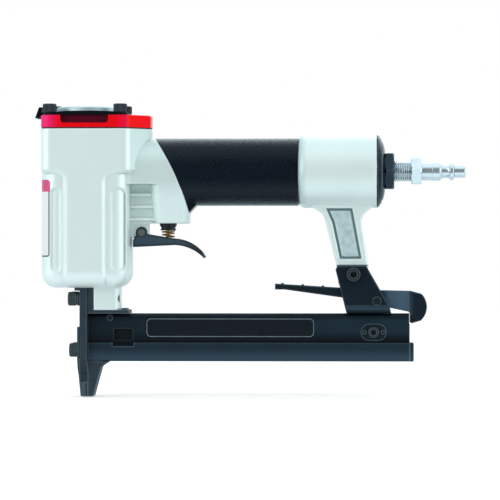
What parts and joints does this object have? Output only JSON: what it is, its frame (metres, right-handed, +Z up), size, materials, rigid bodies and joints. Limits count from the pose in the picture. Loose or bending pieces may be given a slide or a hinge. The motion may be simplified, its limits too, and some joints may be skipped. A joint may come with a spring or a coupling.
{
  "type": "pneumatic stapler",
  "caption": "Hand-held pneumatic stapler: square cylinder body with bolted cap, rubber grip, finger trigger, air plug, rear strut and a slide-back magazine under a latch.",
  "frame": {"origin": "middle of the staple outlet at the nose tip", "axes": "+X back along the magazine to the air plug, +Z up the cylinder to the cap, Y = 0 is the mirror plane"},
  "size_m": [0.2646, 0.048, 0.1796],
  "materials": {
    "housing_paint": "silver paint on die-cast aluminium",
    "cap_paint": "gloss red paint on die-cast aluminium",
    "black_steel": "satin black coated steel",
    "black_oxide": "black oxide screws and pins",
    "zinc_steel": "bright zinc plate",
    "tool_steel": "ground hard steel",
    "piston_alloy": "turned aluminium",
    "seal_rubber": "nitrile rubber",
    "grip_rubber": "fine-grained black rubber",
    "black_plastic": "black moulded plastic",
    "brass": "turned brass",
    "spring_steel": "copper coloured spring wire"
  },
  "bodies": {
    "tool": {"housing": "housing_paint", "cylinder_cap": "cap_paint", "deflector_base": "black_steel", "nose_guide": "black_steel", "nose_cover": "black_steel", "nose_bracket": "black_steel", "nose_heel": "black_steel", "fixed_rail": "black_steel", "rear_bracket": "black_steel", "rail_pads": "black_steel", "cap_bolts": "black_oxide", "upper_nose_bolts": "black_oxide", "nose_washers": "black_oxide", "lower_nose_bolts": "black_oxide", "pad_screws": "black_oxide", "bracket_bolt": "black_oxide", "bracket_nut": "black_oxide", "trigger_pin": "black_oxide", "latch_pin": "black_oxide", "rail_rivets": "black_oxide", "inlet_bushing": "black_oxide", "deflector_dome": "zinc_steel", "flange_screws": "zinc_steel", "air_plug": "zinc_steel", "cylinder_liner": "tool_steel", "piston_bumper": "seal_rubber", "cap_gasket": "seal_rubber", "end_cap_seal": "seal_rubber", "grip_sleeve": "grip_rubber", "valve_bushing": "black_plastic", "end_cap": "black_plastic", "trigger_spring": "spring_steel", "head_valve_spring": "spring_steel", "latch_spring": "spring_steel"},
    "trigger": {"trigger": "black_steel"},
    "valve": {"valve_stem": "brass"},
    "head_valve": {"head_valve": "piston_alloy", "head_valve_seal": "seal_rubber"},
    "driver": {"drive_piston": "piston_alloy", "piston_ring": "seal_rubber", "driver_blade": "tool_steel", "driver_pin": "tool_steel"},
    "magazine": {"sliding_rail": "black_steel", "staple_core": "zinc_steel", "slide_end_cap": "black_steel", "guide_rod": "zinc_steel", "pusher_spring": "spring_steel"},
    "pusher": {"pusher": "zinc_steel"},
    "latch": {"latch_lever": "black_steel"}
  },
  "joints": [
    {"name": "trigger_pull", "type": "hinge", "parent": "tool", "child": "trigger", "pos_m": [0.0339, 0, 0.1007], "axis": [0, -1, 0], "range_deg": [0, 9], "stiffness_Nm_per_rad": 0.2, "springref_deg": -5.73, "deforming": ["trigger_spring"]},
    {"name": "valve_press", "type": "slide", "parent": "tool", "child": "valve", "axis": [0, 0, 1], "range_m": [0, 0.0026]},
    {"name": "head_valve_lift", "type": "slide", "parent": "tool", "child": "head_valve", "axis": [0, 0, 1], "range_m": [0, 0.0035], "stiffness_N_per_m": 1500, "springref_m": -0.004, "deforming": ["head_valve_spring"]},
    {"name": "driver_stroke", "type": "slide", "parent": "tool", "child": "driver", "axis": [0, 0, -1], "range_m": [0, 0.047]},
    {"name": "magazine_slide", "type": "slide", "parent": "tool", "child": "magazine", "axis": [1, 0, 0], "range_m": [0, 0.12]},
    {"name": "pusher_feed", "type": "slide", "parent": "magazine", "child": "pusher", "axis": [1, 0, 0], "range_m": [0, 0.1], "stiffness_N_per_m": 20, "springref_m": -0.1, "deforming": ["pusher_spring"]},
    {"name": "latch_press", "type": "hinge", "parent": "tool", "child": "latch", "pos_m": [0.1787, 0, 0.0587], "axis": [0, -1, 0], "range_deg": [0, 11], "stiffness_Nm_per_rad": 0.3, "springref_deg": -8.59, "deforming": ["latch_spring"]}
  ],
  "couplings": [
    {"joint": "valve_press", "follows": "trigger_pull", "m_per_rad": 0.0163}
  ]
}
